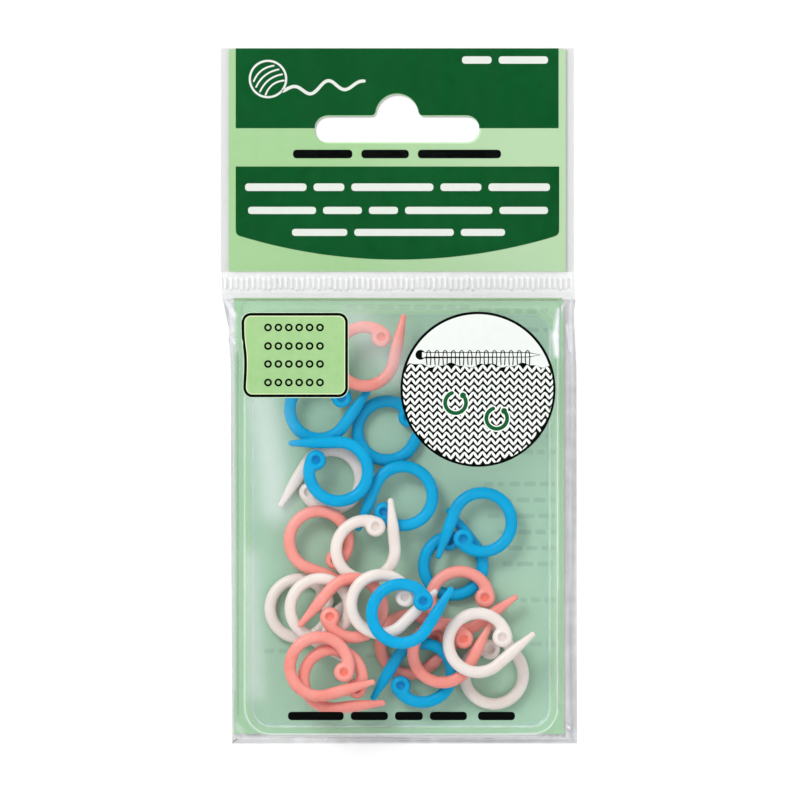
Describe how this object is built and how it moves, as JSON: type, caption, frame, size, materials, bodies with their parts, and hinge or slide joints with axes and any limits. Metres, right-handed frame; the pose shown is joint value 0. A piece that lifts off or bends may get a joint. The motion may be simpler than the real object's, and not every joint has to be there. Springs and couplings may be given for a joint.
{
  "type": "stitch marker hang pack",
  "caption": "Clear hang pack with a hole in its header card and a shallow tray of loose split ring stitch markers in three colours.",
  "frame": {"origin": "middle of the back face, on which the pack lies", "axes": "+Z out of the front, +Y towards the hang hole, +X to the right seen from the front"},
  "size_m": [0.0682, 0.1334, 0.0139],
  "materials": {
    "clear_film": "thin clear plastic film, glossy",
    "clear_tray_plastic": "clear thin-wall plastic, glossy",
    "printed_card": "smooth printed card, satin",
    "green_card": "smooth printed card, satin",
    "pink_plastic": "moulded plastic, satin gloss",
    "blue_plastic": "moulded plastic, satin gloss",
    "white_plastic": "moulded plastic, satin gloss"
  },
  "bodies": {
    "pack": {"back_film": "clear_film", "header_card": "printed_card", "header_film": "clear_film", "crimp_seal": "clear_film", "backing_card": "green_card", "clear_tray": "clear_tray_plastic", "pouch_film": "clear_film"},
    "marker_white_1": {"marker_white_1": "white_plastic"},
    "marker_white_2": {"marker_white_2": "white_plastic"},
    "marker_white_3": {"marker_white_3": "white_plastic"},
    "marker_white_4": {"marker_white_4": "white_plastic"},
    "marker_white_5": {"marker_white_5": "white_plastic"},
    "marker_white_6": {"marker_white_6": "white_plastic"},
    "marker_white_7": {"marker_white_7": "white_plastic"},
    "marker_white_8": {"marker_white_8": "white_plastic"},
    "marker_blue_1": {"marker_blue_1": "blue_plastic"},
    "marker_blue_2": {"marker_blue_2": "blue_plastic"},
    "marker_blue_3": {"marker_blue_3": "blue_plastic"},
    "marker_blue_4": {"marker_blue_4": "blue_plastic"},
    "marker_blue_5": {"marker_blue_5": "blue_plastic"},
    "marker_blue_6": {"marker_blue_6": "blue_plastic"},
    "marker_blue_7": {"marker_blue_7": "blue_plastic"},
    "marker_blue_8": {"marker_blue_8": "blue_plastic"},
    "marker_pink_1": {"marker_pink_1": "pink_plastic"},
    "marker_pink_2": {"marker_pink_2": "pink_plastic"},
    "marker_pink_3": {"marker_pink_3": "pink_plastic"},
    "marker_pink_4": {"marker_pink_4": "pink_plastic"},
    "marker_pink_5": {"marker_pink_5": "pink_plastic"},
    "marker_pink_6": {"marker_pink_6": "pink_plastic"},
    "marker_pink_7": {"marker_pink_7": "pink_plastic"},
    "marker_pink_8": {"marker_pink_8": "pink_plastic"}
  },
  "joints": [
    {"name": "swivel_white_1", "type": "hinge", "parent": "pack", "child": "marker_white_1", "pos_m": [-0.02032, 0.00829, 0.00187], "axis": [0, 0, 1], "range_deg": [-12, 12]},
    {"name": "swivel_white_2", "type": "hinge", "parent": "pack", "child": "marker_white_2", "pos_m": [-0.01301, -0.01612, 0.00187], "axis": [0, 0, 1], "range_deg": [-12, 12]},
    {"name": "swivel_white_3", "type": "hinge", "parent": "pack", "child": "marker_white_3", "pos_m": [-0.019, -0.04083, 0.00187], "axis": [0, 0, 1], "range_deg": [-12, 12]},
    {"name": "swivel_white_4", "type": "hinge", "parent": "pack", "child": "marker_white_4", "pos_m": [0.01827, -0.05351, 0.00187], "axis": [0, 0, 1], "range_deg": [-12, 12]},
    {"name": "swivel_white_5", "type": "hinge", "parent": "pack", "child": "marker_white_5", "pos_m": [-0.00635, -0.0296, 0.00607], "axis": [0, 0, 1], "range_deg": [-12, 12]},
    {"name": "swivel_white_6", "type": "hinge", "parent": "pack", "child": "marker_white_6", "pos_m": [-0.01512, -0.04081, 0.00607], "axis": [0, 0, 1], "range_deg": [-12, 12]},
    {"name": "swivel_white_7", "type": "hinge", "parent": "pack", "child": "marker_white_7", "pos_m": [0.01521, -0.04743, 0.00817], "axis": [0, 0, 1], "range_deg": [-12, 12]},
    {"name": "swivel_white_8", "type": "hinge", "parent": "pack", "child": "marker_white_8", "pos_m": [-0.00341, -0.03999, 0.01027], "axis": [0, 0, 1], "range_deg": [-12, 12]},
    {"name": "swivel_blue_1", "type": "hinge", "parent": "pack", "child": "marker_blue_1", "pos_m": [-0.00224, -0.00671, 0.00187], "axis": [0, 0, 1], "range_deg": [-12, 12]},
    {"name": "swivel_blue_2", "type": "hinge", "parent": "pack", "child": "marker_blue_2", "pos_m": [0.01047, -0.03262, 0.00187], "axis": [0, 0, 1], "range_deg": [-12, 12]},
    {"name": "swivel_blue_3", "type": "hinge", "parent": "pack", "child": "marker_blue_3", "pos_m": [-0.01524, -0.00258, 0.00397], "axis": [0, 0, 1], "range_deg": [-12, 12]},
    {"name": "swivel_blue_4", "type": "hinge", "parent": "pack", "child": "marker_blue_4", "pos_m": [0.00086, -0.01923, 0.00397], "axis": [0, 0, 1], "range_deg": [-2, 12]},
    {"name": "swivel_blue_5", "type": "hinge", "parent": "pack", "child": "marker_blue_5", "pos_m": [0.00456, -0.05318, 0.00397], "axis": [0, 0, 1], "range_deg": [-12, 12]},
    {"name": "swivel_blue_6", "type": "hinge", "parent": "pack", "child": "marker_blue_6", "pos_m": [0.01604, -0.02429, 0.00397], "axis": [0, 0, 1], "range_deg": [-12, 4]},
    {"name": "swivel_blue_7", "type": "hinge", "parent": "pack", "child": "marker_blue_7", "pos_m": [-0.01154, -0.01456, 0.00607], "axis": [0, 0, 1], "range_deg": [-12, 12]},
    {"name": "swivel_blue_8", "type": "hinge", "parent": "pack", "child": "marker_blue_8", "pos_m": [0.00051, -0.04184, 0.01237], "axis": [0, 0, 1], "range_deg": [-12, 12]},
    {"name": "swivel_pink_1", "type": "hinge", "parent": "pack", "child": "marker_pink_1", "pos_m": [0.00212, -0.04774, 0.00187], "axis": [0, 0, 1], "range_deg": [-6, 12]},
    {"name": "swivel_pink_2", "type": "hinge", "parent": "pack", "child": "marker_pink_2", "pos_m": [-0.01533, -0.02782, 0.00397], "axis": [0, 0, 1], "range_deg": [-12, 12]},
    {"name": "swivel_pink_3", "type": "hinge", "parent": "pack", "child": "marker_pink_3", "pos_m": [0.01177, -0.03938, 0.00397], "axis": [0, 0, 1], "range_deg": [-12, 12]},
    {"name": "swivel_pink_4", "type": "hinge", "parent": "pack", "child": "marker_pink_4", "pos_m": [-0.0065, 0.00756, 0.00607], "axis": [0, 0, 1], "range_deg": [-12, 2]},
    {"name": "swivel_pink_5", "type": "hinge", "parent": "pack", "child": "marker_pink_5", "pos_m": [0.00842, -0.0494, 0.00607], "axis": [0, 0, 1], "range_deg": [-12, 12]},
    {"name": "swivel_pink_6", "type": "hinge", "parent": "pack", "child": "marker_pink_6", "pos_m": [-0.0087, -0.04072, 0.00817], "axis": [0, 0, 1], "range_deg": [-12, 12]},
    {"name": "swivel_pink_7", "type": "hinge", "parent": "pack", "child": "marker_pink_7", "pos_m": [-0.0126, -0.05438, 0.00817], "axis": [0, 0, 1], "range_deg": [-12, 12]},
    {"name": "swivel_pink_8", "type": "hinge", "parent": "pack", "child": "marker_pink_8", "pos_m": [-0.01522, -0.052, 0.01027], "axis": [0, 0, 1], "range_deg": [-12, 12]}
  ]
}
